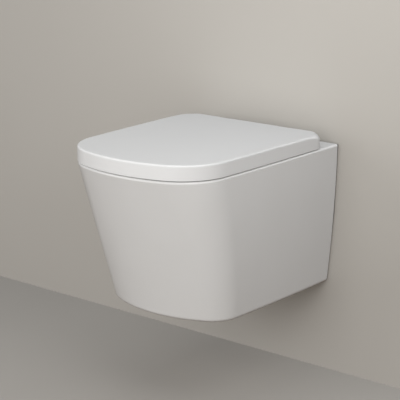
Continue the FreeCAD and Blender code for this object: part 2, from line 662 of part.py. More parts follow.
def make_pan():
    rim, base = value("RimHeight"), value("RimHeight - PanHeight")
    wall, bowl_wall = value("ShellWall"), value("BowlWall")
    back = value("BackThickness")
    outside = skin_solid(rim, base, 0, 0)
    off_the_wall = lambda box: box.YMin < -0.01
    outside = rounded(
        outside, value("BaseEdge"), lambda box: box.ZMax < base + 0.01 and off_the_wall(box)
    )
    outside = rounded(
        outside, value("RimEdge"), lambda box: box.ZMin > rim - 0.01 and off_the_wall(box)
    )
    outside = rounded(outside, value("BackEdge"), lambda box: box.YMin > -0.01)
    void = skin_solid(rim - value("RimThickness"), base + wall, wall, -back)
    trap, spigot, bore = value("TrapBore / 2"), value("OutletDiameter / 2"), value("OutletBore / 2")
    inlet = value("InletBore / 2")
    socket = spigot + value("OutletSpace")
    rise, drop = value("InletRise"), -value("OutletDrop")
    keep = [
        bowl_solid(bowl_wall),
        trap_solid(trap + bowl_wall),
        outlet_solid(spigot, trap + bowl_wall),
        back_cylinder(socket + bowl_wall, drop, value("OutletSocket + OutletStraight")),
        back_cylinder(inlet + bowl_wall, rise, value("InletDepth") + bowl_wall),
        channel_solid(bowl_wall),
    ]
    holes = [
        bowl_solid(0),
        trap_solid(trap),
        outlet_solid(bore, trap),
        back_cylinder(inlet, rise, value("InletDepth")),
        channel_solid(0),
        back_cylinder(socket, drop, value("OutletSocket")).cut(
            back_cylinder(spigot, drop, value("OutletSocket"))
        ),
    ]
    boss_depth = value("HingeBossDepth")
    for side in (-1, 1):
        foot = Vector(side * value(HINGE_X), value(HINGE_Y), rim - boss_depth)
        keep.append(nut_shaft(side, bowl_wall))
        keep.append(Part.makeCylinder(value("HingeBoss / 2"), boss_depth, foot))
        holes.append(nut_shaft(side, 0))
        holes.append(Part.makeCylinder(value("HingeHole / 2"), boss_depth, foot))
        holes.append(back_cylinder(value("StudHole / 2"), 0, back, side * value("StudSpacing / 2")))
    void = void.cut(keep)
    china = outside.cut([void] + holes)
    mouth_front, mouth_rear = value("RimFront - PanProjection") - 1, value("-DeckDepth") + 1
    mouth_side = value(BOWL_HALF) + 1
    china = rounded(
        china,
        value("MouthEdge"),
        lambda box: box.ZMin > rim - 0.01
        and box.YMin > mouth_front
        and box.YMax < mouth_rear
        and box.XMax < mouth_side,
    )
    pan = doc.addObject("Part::Feature", "pan")
    pan.Label = "pan"
    pan.Shape = china
    pan.Placement = FreeCAD.Placement()
    return pan


pan = make_pan()


# ---------------------------------------------------------------- wall side: mat and stud fixings
def make_wall_mat():
    """A foam mat with the outline of the pan's back, and holes for pipes and studs."""
    body = new_body("wall_mat")
    rim = "(RimHeight - MatInset)"
    middle = "(RimHeight - PanHeight / 2)"
    base = "(RimHeight - PanHeight + MatInset)"
    half_rim = "(PanWidth / 2 - MatInset)"
    swell = "(PanWidth - BaseWidth) * SideBulge / 8"
    half_middle = f"((PanWidth + BaseWidth) / 4 + {swell} - MatInset)"
    half_base = "(BaseWidth / 2 - MatInset)"
    corner = "(BaseEdge * 0.6)"
    edge = [
        (half_rim, rim),
        (half_middle, middle),
        (half_base, f"{base} + {corner}"),
        (f"({half_base} - {corner})", base),
    ]
    left = [(f"-1 * {x}", y) for x, y in edge]
    outline = new_sketch(body, "XZ_Plane")
    draw_polygon(outline, left + edge[::-1])
    add(body, "Pad", outline, "MatThickness", forward=False)
    holes = new_sketch(body, "XZ_Plane")
    draw_circle(holes, "0", "InletRise", "InletBore / 2 + MatHoleGap")
    draw_circle(holes, "0", "-OutletDrop", "OutletDiameter / 2 + OutletSpace + MatHoleGap / 2")
    for sign in ("", "-"):
        draw_circle(holes, f"{sign}StudSpacing / 2", "0", "StudHole / 2 + MatHoleGap / 4")
    add(body, "Pocket", holes, "MatThickness", forward=False)
    return body


def make_stud_fixings():
    """On each wall stud: a plastic sleeve in the china, a washer and a nut."""
    bore = "StudBore / 2"
    face = "(-BackThickness - SleeveFlange)"
    washer = "(-BackThickness - SleeveFlange - StudWasherThickness)"
    sleeve = stud_body(
        "stud_sleeve",
        [
            (bore, face),
            ("StudWasherDiameter / 2", face),
            ("StudWasherDiameter / 2", "-BackThickness"),
            ("StudHole / 2 - RunningGap", "-BackThickness"),
            ("StudHole / 2 - RunningGap", "0"),
            (bore, "0"),
        ],
    )
    ring = stud_body(
        "stud_washer",
        [
            (bore, washer),
            ("StudWasherDiameter / 2 - 0.5", washer),
            ("StudWasherDiameter / 2 - 0.5", face),
            (bore, face),
        ],
    )
    nut = new_body("stud_nut")
    hexagon = new_sketch(nut, "XZ_Plane", f"-1 * {washer}")
    corner, half = "StudNutAcross / sqrt(3)", "StudNutAcross / sqrt(12)"
    middle = "StudSpacing / 2"
    draw_polygon(
        hexagon,
        [
            (f"{middle} + StudNutAcross / 2", half),
            (middle, corner),
            (f"{middle} - StudNutAcross / 2", half),
            (f"{middle} - StudNutAcross / 2", f"-1 * {half}"),
            (middle, f"-1 * {corner}"),
            (f"{middle} + StudNutAcross / 2", f"-1 * {half}"),
        ],
    )
    add(nut, "Pad", hexagon, "StudNutHeight")
    hole = new_sketch(nut, "XZ_Plane", f"-1 * {washer}")
    draw_circle(hole, "StudSpacing / 2", "0", bore)
    add(nut, "Pocket", hole, "StudNutHeight")
    end, bore_size = value(f"{washer} - StudNutHeight"), value("StudBore")
    is_bore = lambda box: abs(box.XLength - bore_size) < 0.1
    round_edges(nut, "0.8", lambda box: box.YMax < end + 0.01 and is_bore(box), "Chamfer")
    return [pair("stud_sleeves", sleeve), pair("stud_washers", ring), pair("stud_nuts", nut)]


# ---------------------------------------------------------------- flush diverter
def make_diverter():
    """A plastic spout at the end of the flush channel, with a shield that turns the water."""
    body = new_body("flush_diverter")
    half = "(ChannelWidth / 2 - DiverterGap)"
    low, high = f"({CHANNEL_LOW} + DiverterGap)", f"({CHANNEL_HIGH} - DiverterGap)"
    spout_back = "DeckDepth + ShieldStandoff - SpoutLength"
    spout = new_sketch(body, "XZ_Plane", spout_back)
    draw_rectangle(spout, f"-1 * {half}", half, low, high)
    add(body, "Pad", spout, "SpoutLength")
    shield = new_sketch(body, "XZ_Plane", "DeckDepth + ShieldStandoff")
    draw_rectangle(
        shield,
        "-ChannelWidth / 2 - ShieldSide",
        "ChannelWidth / 2 + ShieldSide",
        f"{CHANNEL_LOW} - ShieldOver",
        f"{CHANNEL_HIGH} + ShieldOver",
    )
    add(body, "Pad", shield, "ShieldThickness")
    inside = new_sketch(body, "XZ_Plane", spout_back)
    draw_rectangle(
        inside,
        f"SpoutWall - {half}",
        f"{half} - SpoutWall",
        f"{low} + SpoutWall",
        f"{high} - SpoutWall",
    )
    add(body, "Pocket", inside, "SpoutLength - 1")
    windows = new_sketch(body, "YZ_Plane", "-ChannelWidth")
    window_end = "-1 * DeckDepth - ShieldStandoff + 1"
    draw_rectangle(
        windows,
        window_end,
        f"{window_end} + SpoutWindow",
        f"{low} + SpoutWall",
        f"{high} - SpoutWall",
    )
    add(body, "Pocket", windows, "ChannelWidth * 2")
    front = value("-1 * DeckDepth - ShieldStandoff - ShieldThickness")
    round_edges(body, "3", lambda box: box.YMin < front + 0.01 and box.YMax > front + 1)
    return body


# ---------------------------------------------------------------- hinges on the deck
def make_hinge_bases():
    """On each hinge hole: a rubber ring, a steel base with a grooved spigot, a screw, and the
    rubber bush that its nut squeezes against the underside of the china."""
    x, y = HINGE_X, HINGE_Y
    bore = "(ScrewDiameter / 2 + 0.2)"
    head = "(ScrewDiameter / 2 + ScrewHead)"
    spigot_top = f"({BASE_TOP} + SpigotHeight)"
    groove = f"({BASE_TOP} + GrooveRise)"
    groove_top = f"({BASE_TOP} + GrooveRise + GrooveHeight)"
    head_seat = f"({groove_top} + 0.2)"
    seal = turned_body(
        "base_seal",
        x,
        y,
        [
            ("HingeHole / 2 + 0.5", "RimHeight"),
            ("HingeBaseRadius - 0.8", "RimHeight"),
            ("HingeBaseRadius - 0.8", BASE_BOTTOM),
            ("HingeHole / 2 + 0.5", BASE_BOTTOM),
        ],
    )
    base = turned_body(
        "hinge_base_right",
        x,
        y,
        [
            (bore, BASE_BOTTOM),
            ("HingeBaseRadius", BASE_BOTTOM),
            ("HingeBaseRadius", f"{BASE_TOP} - 1"),
            ("HingeBaseRadius - 1", BASE_TOP),
            ("SpigotRadius", BASE_TOP),
            ("SpigotRadius", groove),
            ("GrooveRadius", groove),
            ("GrooveRadius", groove_top),
            ("SpigotRadius", groove_top),
            ("SpigotRadius", f"{spigot_top} - 0.8"),
            ("SpigotRadius - 0.8", spigot_top),
            (f"{head} + 0.1", spigot_top),
            (f"{head} + 0.1", head_seat),
            (bore, head_seat),
        ],
    )
    screw = turned_body(
        "hinge_screw",
        x,
        y,
        [
            ("1.5", f"{head_seat} + 0.4"),
            ("1.5", f"{spigot_top} - 0.3"),
            (head, f"{spigot_top} - 0.3"),
            (head, head_seat),
            ("ScrewDiameter / 2", head_seat),
            ("ScrewDiameter / 2", f"{head_seat} - ScrewLength"),
            ("0", f"{head_seat} - ScrewLength"),
            ("0", f"{head_seat} + 0.4"),
        ],
    )
    boss_foot = "(RimHeight - HingeBossDepth)"
    nut_top = f"({head_seat} - ScrewLength + ExpansionNut + ScrewEnd)"
    bush = turned_body(
        "expansion_bush",
        x,
        y,
        [
            ("ScrewDiameter / 2 + 0.1", nut_top),
            ("HingeHole / 2 - 1", nut_top),
            ("HingeHole / 2 + BushBulge", f"{boss_foot} - 3"),
            ("HingeHole / 2 + BushBulge", f"{boss_foot} - 0.3"),
            ("HingeHole / 2 - 0.2", f"{boss_foot} - 0.3"),
            ("HingeHole / 2 - 0.2", BASE_BOTTOM),
            ("ScrewDiameter / 2 + 0.1", BASE_BOTTOM),
        ],
    )
    nut = turned_body(
        "expansion_nut",
        x,
        y,
        [
            ("ScrewDiameter / 2 + RunningGap", f"{nut_top} - ExpansionNut"),
            ("HingeHole / 2 - 1.5", f"{nut_top} - ExpansionNut"),
            ("HingeHole / 2 - 1", f"{nut_top} - 2"),
            ("HingeHole / 2 - 1", nut_top),
            ("ScrewDiameter / 2 + RunningGap", nut_top),
        ],
    )
    return [
        pair("base_seals", seal),
        base,
        mirror_image("hinge_base_left", base),
        pair("hinge_screws", screw),
        pair("expansion_bushes", bush),
        pair("expansion_nuts", nut),
    ]


def make_hinge_block():
    """The plastic block that clips on a hinge base and carries the hinge barrel. Its leg stays
    in front of the hinge axis, where the lid's rear never comes."""
    body = new_body("hinge_block_right")
    side = new_sketch(body, "YZ_Plane", BLOCK_INNER)
    draw_polygon(
        side,
        [
            (BLOCK_FRONT, BLOCK_BOTTOM),
            (LEG_REAR, BLOCK_BOTTOM),
            (LEG_REAR, AXIS_Z),
            (f"{AXIS_Y} - BarrelRadius", AXIS_Z),
            (f"{AXIS_Y} - BarrelRadius - BlockSlope", "BlockTop"),
            (BLOCK_FRONT, "BlockTop"),
        ],
    )
    add(body, "Pad", side, "BlockWidth")
    round_bar(body, BLOCK_INNER, "BlockWidth", "BarrelRadius")
    bore = new_sketch(body, "YZ_Plane", BLOCK_INNER)
    draw_circle(bore, AXIS_Y, AXIS_Z, "DamperRadius + RunningGap")
    add(body, "Pocket", bore, "BlockWidth")
    socket = new_sketch(body, "XY_Plane", BLOCK_BOTTOM)
    draw_circle(socket, HINGE_X, HINGE_Y, "SpigotRadius + 0.15")
    add(body, "Pocket", socket, "SpigotHeight")
    channel = new_sketch(body, "XZ_Plane", f"-1 * {BLOCK_FRONT}")
    draw_rectangle(
        channel,
        f"{HINGE_X} - LatchWidth / 2 - ButtonGap",
        f"{HINGE_X} + LatchWidth / 2 + ButtonGap",
        f"{GROOVE_MIDDLE} - LatchThickness / 2 - ButtonGap",
        f"{GROOVE_MIDDLE} + LatchThickness / 2 + ButtonGap",
    )
    add(body, "Pocket", channel, f"{LEG_REAR} - LegWall - {BLOCK_FRONT}", forward=False)
    mouth = new_sketch(body, "XZ_Plane", f"-1 * {BLOCK_FRONT}")
    draw_rectangle(
        mouth,
        f"{HINGE_X} - ButtonWidth / 2 - ButtonGap",
        f"{HINGE_X} + ButtonWidth / 2 + ButtonGap",
        f"{GROOVE_MIDDLE} - ButtonHeight / 2 + ButtonLift - ButtonGap",
        f"{GROOVE_MIDDLE} + ButtonHeight / 2 + ButtonLift + ButtonGap",
    )
    mouth_depth = "ButtonDepth - ButtonProud + ButtonTravel + ButtonGap"
    add(body, "Pocket", mouth, mouth_depth, forward=False)
    return body


def make_release_button():
    """A push button with a latch plate whose keyhole holds the spigot's groove."""
    body = new_body("release_button_right")
    head = new_sketch(body, "XZ_Plane", f"-1 * {BLOCK_FRONT} + ButtonProud")
    draw_rectangle(
        head,
        f"{HINGE_X} - ButtonWidth / 2",
        f"{HINGE_X} + ButtonWidth / 2",
        f"{GROOVE_MIDDLE} - ButtonHeight / 2 + ButtonLift",
        f"{GROOVE_MIDDLE} + ButtonHeight / 2 + ButtonLift",
    )
    add(body, "Pad", head, "ButtonDepth", forward=False)
    face = value(f"{BLOCK_FRONT} - ButtonProud")
    round_edges(body, "1.2", lambda box: box.YMax < face + 0.01)
    low = f"({GROOVE_MIDDLE} - LatchThickness / 2)"
    neck = f"({BLOCK_FRONT} - ButtonProud + ButtonDepth)"
    plate = new_sketch(body, "XY_Plane", low)
    draw_rectangle(
        plate,
        f"{HINGE_X} - LatchWidth / 2",
        f"{HINGE_X} + LatchWidth / 2",
        f"{neck} - 0.5",
        LATCH_END,
    )
    add(body, "Pad", plate, "LatchThickness")
    wide = new_sketch(body, "XY_Plane", low)
    draw_circle(wide, HINGE_X, f"{HINGE_Y} - ButtonTravel", "SpigotRadius + 0.2")
    add(body, "Pocket", wide, "LatchThickness")
    narrow = new_sketch(body, "XY_Plane", low)
    draw_circle(narrow, HINGE_X, HINGE_Y, "GrooveRadius + ButtonGap")
    add(body, "Pocket", narrow, "LatchThickness")
    return body


def make_button_spring():
    """The spring behind a latch plate, as long as the room that it has there at rest."""
    body = new_body("button_spring")
    start = f"({LATCH_END} + 0.1)"
    sketch = new_sketch(body, "XZ_Plane", f"-1 * {start}")
    draw_circle(sketch, HINGE_X, GROOVE_MIDDLE, "SpringRadius")
    add(body, "Pad", sketch, f"{LEG_REAR} - LegWall - 0.1 - {start}", forward=False)
    return pair("button_springs", body)


def square_sketch(body, start, grow="0"):
    """The square of a drive shaft on the hinge axis at x = start, grown by a clearance."""
    sketch = new_sketch(body, "YZ_Plane", start)
    half = f"(DriveSquare / 2 + {grow})"
    draw_rectangle(
        sketch, f"{AXIS_Y} - {half}", f"{AXIS_Y} + {half}", f"{AXIS_Z} - {half}", f"{AXIS_Z} + {half}"
    )
    return sketch


def make_damper(label, opens_outwards):
    """A rotary damper that fills a hinge barrel, with a blind bore for its drive shaft."""
    body = new_body(label)
    round_bar(body, DAMPER_START, "DamperLength", "DamperRadius")
    bore = new_sketch(body, "YZ_Plane", DAMPER_END if opens_outwards else DAMPER_START)
    draw_circle(bore, AXIS_Y, AXIS_Z, "JournalRadius + RunningGap")
    add(body, "Pocket", bore, "JournalDepth", forward=not opens_outwards)
    return body


def make_drive_shaft(label, outwards):
    """A shaft with a round end in its damper and a square end in the lug that it turns with."""
    body = new_body(label)
    beside = "(BlockWidth / 2 - DamperLength / 2)"
    journal = f"(JournalDepth - JournalEnd + {beside} + LugGap / 2)"
    if outwards:
        square, start = "(LugGap / 2 + LidLugWidth - PinGap)", f"({BLOCK_OUTER} + LugGap / 2)"
        round_bar(body, f"{start} - {journal}", journal, "JournalRadius")
    else:
        square = "(LugGap / 2 + SeatLugWidth - PinGap)"
        start = f"({BLOCK_INNER} - LugGap / 2 - {square})"
        round_bar(body, f"{BLOCK_INNER} - LugGap / 2", journal, "JournalRadius")
    add(body, "Pad", square_sketch(body, start), square)
    return body


def make_pivot_pin(label, outwards):
    """A headed pin: its head lies in the barrel beside the damper, its shank in a lug."""
    body = new_body(label)
    beside = "(BlockWidth / 2 - DamperLength / 2 - PivotHead)"
    if outwards:
        head = f"({DAMPER_END} + {beside} / 2)"
        shank = f"(LugGap + LidLugWidth - PinGap + {beside} / 2)"
        shank_start = f"{head} + PivotHead"
    else:
        head = f"({DAMPER_START} - {beside} / 2 - PivotHead)"
        shank = f"(LugGap + SeatLugWidth - PinGap + {beside} / 2)"
        shank_start = f"{head} - {shank}"
    round_bar(body, head, "PivotHead", "DamperRadius")
    round_bar(body, shank_start, shank, "PivotRadius")
    return body


# ---------------------------------------------------------------- seat and lid
def add_lug(body, start, width, profile, driven):
    """One lug: an arm with the given side profile and a barrel round the hinge axis, with a
    square hole for a drive shaft if it is driven, else a round one for a pivot pin."""
    arm = new_sketch(body, "YZ_Plane", start)
    draw_polygon(arm, profile)
    add(body, "Pad", arm, width)
    round_bar(body, start, width, "BarrelRadius")
    if driven:
        hole = square_sketch(body, start, "RunningGap")
    else:
        hole = new_sketch(body, "YZ_Plane", start)
        draw_circle(hole, AXIS_Y, AXIS_Z, "PivotRadius + RunningGap")
    add(body, "Pocket", hole, width)


def make_seat():
    body = new_body("seat_ring")
    outline = new_sketch(body, "XY_Plane", SEAT_BOTTOM)
    draw_outline(outline, SEAT_INSET, "-SeatRear", "LidRearCorner")
    add(body, "Pad", outline, "SeatThickness")
    hole = new_sketch(body, "XY_Plane", SEAT_BOTTOM)
    draw_seat_hole(hole)
    add(body, "Pocket", hole, "SeatThickness")
    round_edges(body, "SeatEdge", at_height(SEAT_TOP))
    round_edges(body, "SeatFoot", at_height(SEAT_BOTTOM))
    arm = [
        ("-SeatRear - ArmOverlap", f"{SEAT_BOTTOM} + 2 * SeatFoot"),
        (AXIS_Y, f"{AXIS_Z} - BarrelRadius"),
        (AXIS_Y, f"{AXIS_Z} + BarrelRadius"),
        ("-SeatRear - ArmOverlap", f"{SEAT_TOP} - 1"),
    ]
    add_lug(body, f"({BLOCK_INNER} - LugGap - SeatLugWidth)", "SeatLugWidth", arm, True)
    add_lug(body, f"(LugGap - {BLOCK_INNER})", "SeatLugWidth", arm, False)
    return body


def cut_lid_rear(body, start, width, front, low, high):
    """Cuts the lid's rear between two heights, from y = front backwards."""
    sketch = new_sketch(body, "YZ_Plane", start)
    draw_rectangle(sketch, front, "3 - LidSetback", low, high)
    add(body, "Pocket", sketch, width)


def divided(solid, distance):
    """The same solid, with its faces divided at a distance from the wall."""
    behind = Part.makeBox(2000, 2000, 2000, Vector(-1000, -distance, -1000))
    return solid.cut(behind).fuse(solid.common(behind))


def lid_form():
    """The lid's solid form. Its upper edge is rounded little at the front and sides, more and
    more towards the middle of the rear corners, and round the hinge axis at the rear."""
    form = new_body("lid_form")
    outline = new_sketch(form, "XY_Plane", LID_BOTTOM)
    draw_outline(outline, "0", "-LidSetback", "LidRearCorner")
    add(form, "Pad", outline, "LidHeight")
    rear, start = value("LidSetback"), value("EaseStart")
    middle = value("LidSetback + LidRearCorner * 0.4")
    shape = form.Shape
    for share in (0, 0.3, 0.55, 1):
        shape = divided(shape, start + (middle - start) * share)
    parts = doc.addObject("Part::Feature", "lid_parts")
    parts.Shape = shape

    def rounding(point):
        if -point.y < rear + 0.01:
            return value("RearRound")
        share = max(0, (start + point.y) / (start - middle))
        return value("LidEdge") + value("EaseCorner - LidEdge") * share**3

    upper = at_height(LID_TOP)
    eased = doc.addObject("Part::Fillet", "lid_eased")
    eased.Base = parts
    eased.Edges = [
        (number, rounding(edge.Vertexes[0].Point), rounding(edge.Vertexes[-1].Point))
        for number, edge in enumerate(parts.Shape.Edges, start=1)
        if upper(edge.BoundBox)
    ]
    doc.recompute()
    return eased


def round_lid_foot(body):
    """Cuts the lid's lower rear edge round, so that it clears the deck as the lid turns."""
    sketch = new_sketch(body, "YZ_Plane", "-PanWidth")
    across, up = "(-LidSetback - RearFoot)", f"({LID_BOTTOM} + RearFoot)"
    centre, radius = Vector(value(across), value(up), 0), value("RearFoot")
    arc = draw_arcs(sketch, [(centre, radius, -math.pi / 2, 0)], [])[0]
    far = Vector(value("3 - LidSetback"), value(f"{LID_BOTTOM} - 3"), 0)
    places = [
        centre + Vector(radius, 0, 0),
        Vector(far.x, centre.y, 0),
        far,
        Vector(centre.x, far.y, 0),
        centre - Vector(0, radius, 0),
    ]
    lines = [sketch.addGeometry(Part.LineSegment(a, b)) for a, b in zip(places, places[1:])]
    chain = [(arc, 2), (lines[0], 2), (lines[1], 2), (lines[2], 2), (lines[3], 2)]
    for (geometry, end), following in zip(chain, lines + [arc]):
        constrain(sketch, "Coincident", geometry, end, following, 1)
    for line, direction in zip(lines, ("Horizontal", "Vertical") * 2):
        constrain(sketch, direction, line)
    place(sketch, arc, 3, across, up)
    constrain(sketch, "Radius", arc, size="RearFoot")
    place(sketch, lines[2], 1, "3 - LidSetback", f"{LID_BOTTOM} - 3")
    constrain(sketch, "DistanceY", -1, 1, lines[0], 1, size=up)
    constrain(sketch, "DistanceX", -1, 1, lines[3], 2, size=across)
    add(body, "Pocket", sketch, "PanWidth * 2")


def make_lid():
    body = new_body("lid")
    body.BaseFeature = lid_form()
    doc.recompute()
    round_lid_foot(body)
    # hollow: in front of the axis up to the top wall, behind it up to the axis and round it
    for back, top in (
        (AXIS_Y, f"{LID_TOP} - LidWall - {LID_BOTTOM}"),
        ("(-LidSetback - LidWall)", f"{AXIS_Z} - {LID_BOTTOM}"),
    ):
        hollow = new_sketch(body, "XY_Plane", LID_BOTTOM)
        draw_outline(hollow, "LidWall", back, "(LidRearCorner - LidWall)")
        add(body, "Pocket", hollow, top)
    half = "(PanWidth / 2 - LidRearCorner - LidEdge)"
    barrel_space = new_sketch(body, "YZ_Plane", f"-1 * {half}")
    draw_circle(barrel_space, AXIS_Y, AXIS_Z, "RearRound - LidWall")
    add(body, "Pocket", barrel_space, f"2 * {half}")
    # the rear wall has an opening where the seat's arms pass under it, and leaves the hinge
    # barrels free
    low = f"({LID_BOTTOM} - 2)"
    cut_lid_rear(body, "-RearOpening", "RearOpening * 2", AXIS_Y, low, AXIS_Z)
    notch, top = "(BlockWidth + 2 * LugGap)", f"({LID_TOP} + 2)"
    cut_lid_rear(body, f"({BLOCK_INNER} - LugGap)", notch, AXIS_Y, low, top)
    cut_lid_rear(body, f"(-1 * {BLOCK_OUTER} - LugGap)", notch, AXIS_Y, low, top)
    top_inside = f"({LID_TOP} - LidWall + 1)"
    half_wall = "(RearRound - LidWall / 2)"
    arm = [
        (f"{AXIS_Y} - BarrelRadius", AXIS_Z),
        (f"{AXIS_Y} + {half_wall}", AXIS_Z),
        (f"{AXIS_Y} + {half_wall} * 0.7", f"{AXIS_Z} + {half_wall} * 0.7"),
        (f"{AXIS_Y} + {half_wall} * 0.3", f"{AXIS_Z} + {half_wall} * 0.9"),
        (f"{AXIS_Y} - BarrelRadius", top_inside),
    ]
    add_lug(body, f"(-1 * {BLOCK_OUTER} - LugGap - LidLugWidth)", "LidLugWidth", arm, True)
    add_lug(body, f"({BLOCK_OUTER} + LugGap)", "LidLugWidth", arm, False)
    return body


def make_buffers(label, top, height, radius, places):
    """Round rubber buffers with a rounded foot, hanging from a surface at height top."""
    made = []
    for number, (x, y) in enumerate(places, start=1):
        body = new_body(f"{label}_{number}")
        sketch = new_sketch(body, "XY_Plane", f"{top} - {height}")
        draw_circle(sketch, x, y, radius)
        add(body, "Pad", sketch, height)
        round_edges(body, "1", at_height(f"{top} - {height}"))
        made.append(body)
    group = doc.addObject("Part::Compound", label)
    group.Label = label
    group.Links = made
    return group


def buffer_places(*rows):
    """Places on both sides for rows of (inset from half the pan's width, distance from the wall)."""
    return [
        (f"{sign} * (PanWidth / 2 - {inset})", f"-1 * {back}")
        for sign in ("1", "-1")
        for inset, back in rows
    ]


SEAT_BUFFERS = buffer_places(
    ("BufferRearInset", "BufferRear"),
    ("BufferFrontInset", "(PanProjection - BufferFront)"),
)
LID_BUFFERS = buffer_places(
    ("LidBufferRearInset", "LidBufferRear"),
    ("LidBufferFrontInset", "(PanProjection - LidBufferFront)"),
)

pieces = [pan, make_wall_mat(), make_diverter()]
pieces += make_stud_fixings()
pieces += make_hinge_bases()
block = make_hinge_block()
button = make_release_button()
pieces += [block, mirror_image("hinge_block_left", block)]
pieces += [button, mirror_image("release_button_left", button), make_button_spring()]
# the right hinge's damper turns with the seat; the left one, built mirrored, with the lid
pieces.append(make_damper("seat_damper", False))
pieces.append(make_drive_shaft("seat_drive_shaft", False))
pieces.append(make_pivot_pin("lid_pivot_pin", True))
pieces.append(mirror_image("lid_damper", make_damper("lid_damper_shape", True)))
pieces.append(mirror_image("lid_drive_shaft", make_drive_shaft("lid_drive_shaft_shape", True)))
pieces.append(mirror_image("seat_pivot_pin", make_pivot_pin("seat_pivot_pin_shape", False)))
pieces += [make_seat(), make_lid()]
seat_foot = "(SeatGap - BufferClearance)"
lid_inside = f"({LID_TOP} - LidWall)"
lid_foot = f"({lid_inside} - {SEAT_TOP} - BufferClearance)"
pieces.append(make_buffers("seat_buffers", SEAT_BOTTOM, seat_foot, "SeatBufferRadius", SEAT_BUFFERS))
pieces.append(make_buffers("lid_buffers", lid_inside, lid_foot, "LidBufferRadius", LID_BUFFERS))

# ---------------------------------------------------------------- check and write
doc.recompute()
for made in doc.Objects:
    if "Invalid" in made.State or "Error" in made.State:
        raise RuntimeError(f"{made.Label} didn't recompute: {made.State}")
os.makedirs("parts", exist_ok=True)
for piece in pieces:
    shape = piece.Shape
    if shape.isNull() or not shape.isValid():
        raise RuntimeError(f"{piece.Label} has no valid shape")
    shape.exportStep(f"parts/{piece.Label}.step")
    print(f"{piece.Label}: {len(shape.Solids)} solid(s), {shape.Volume / 1000:.2f} cm3")
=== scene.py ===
# %% [markdown]
# # A wall hung toilet, dressed for its picture
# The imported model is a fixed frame: every solid has its true size and place. This lesson adds
# what the solids lack, which is light, a camera, and the finish of glazed china, hard plastic,
# rubber, foam and steel. Lengths are in metres, +Y goes into the wall and +Z is up.

# %% Load the frame
import json
import math

import bmesh
import bpy
from mathutils import Matrix, Vector


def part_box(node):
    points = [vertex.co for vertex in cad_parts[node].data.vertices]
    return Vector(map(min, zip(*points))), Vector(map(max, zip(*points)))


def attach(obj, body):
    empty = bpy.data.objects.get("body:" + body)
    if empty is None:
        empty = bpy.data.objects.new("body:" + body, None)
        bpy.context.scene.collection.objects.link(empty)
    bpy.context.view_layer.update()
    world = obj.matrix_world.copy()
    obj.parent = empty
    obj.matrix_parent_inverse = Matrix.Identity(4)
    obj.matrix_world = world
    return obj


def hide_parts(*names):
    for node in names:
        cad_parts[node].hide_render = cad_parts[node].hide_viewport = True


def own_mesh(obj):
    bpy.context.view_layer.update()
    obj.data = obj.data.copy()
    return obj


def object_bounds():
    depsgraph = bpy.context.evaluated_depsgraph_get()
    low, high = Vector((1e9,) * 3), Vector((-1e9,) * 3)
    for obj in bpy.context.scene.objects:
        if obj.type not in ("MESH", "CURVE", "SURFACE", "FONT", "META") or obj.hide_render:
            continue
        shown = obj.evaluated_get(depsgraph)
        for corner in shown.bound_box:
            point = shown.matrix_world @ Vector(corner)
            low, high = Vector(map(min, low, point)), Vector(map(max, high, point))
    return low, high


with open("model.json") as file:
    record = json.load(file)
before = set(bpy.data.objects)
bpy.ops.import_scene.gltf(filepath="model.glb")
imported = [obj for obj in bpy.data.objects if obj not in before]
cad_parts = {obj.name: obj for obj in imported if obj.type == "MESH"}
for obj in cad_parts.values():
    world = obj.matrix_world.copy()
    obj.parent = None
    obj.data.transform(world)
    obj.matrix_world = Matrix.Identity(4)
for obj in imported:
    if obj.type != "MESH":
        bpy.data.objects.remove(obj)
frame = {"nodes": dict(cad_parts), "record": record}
cad_low, cad_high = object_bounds()
scene = bpy.context.scene
scene.view_settings.view_transform = "Standard"

# %% [markdown]
# ## The camera
# The camera stands to the right of the toilet, a little above it and well back, with a long
# lens, so the upright edges stay nearly upright. Its place, direction and lens come from a fit
# to the edges of lid and china.

# %% Place the camera
LENS_MM = 119.67
CAMERA_PLACE = (1.6414, -2.3011, 0.6852)
VIEW_DIRECTION = Vector((-0.6010, 0.7560, -0.2595))

camera_data = bpy.data.cameras.new("camera")
camera_data.lens = LENS_MM
camera_data.sensor_width = 36.0
camera = bpy.data.objects.new("camera", camera_data)
scene.collection.objects.link(camera)
camera.location = CAMERA_PLACE
camera.rotation_mode = "QUATERNION"
camera.rotation_quaternion = VIEW_DIRECTION.to_track_quat("-Z", "Y")
scene.camera = camera
middle = (cad_low + cad_high) / 2
print("camera is", round((camera.location - middle).length, 2), "m away")

# %% [markdown]
# ## Helpers for materials
# A material is a small graph of nodes. These helpers make one node, wire it and set its plain
# sockets, so that each finish below reads as a short recipe.

# %% Node helpers
def add_node(tree, kind, **settings):
    """A new node; a setting is one of its properties or, failing that, one of its sockets."""
    node = tree.nodes.new(kind)
    for name, setting in settings.items():
        if hasattr(node, name):
            setattr(node, name, setting)
        else:
            node.inputs[name.replace("_", " ")].default_value = setting
    return node


def new_group(name, inputs, outputs):
    """An empty node group with named inputs (name, kind, default) and outputs (name, kind)."""
    group = bpy.data.node_groups.new(name, "ShaderNodeTree")
    for label, kind, default in inputs:
        socket = group.interface.new_socket(label, in_out="INPUT", socket_type=kind)
        if default is not None:
            socket.default_value = default
    for label, kind in outputs:
        group.interface.new_socket(label, in_out="OUTPUT", socket_type=kind)
    return group, add_node(group, "NodeGroupInput"), add_node(group, "NodeGroupOutput")


def calculate(tree, operation, first, second=None, clamp=False):
    """A Math node; each operand is a socket or a number. Returns its result."""
    node = add_node(tree, "ShaderNodeMath", operation=operation, use_clamp=clamp)
    for slot, operand in zip(node.inputs, (first, second)):
        if isinstance(operand, (int, float)):
            slot.default_value = operand
        elif operand is not None:
            tree.links.new(operand, slot)
    return node.outputs[0]


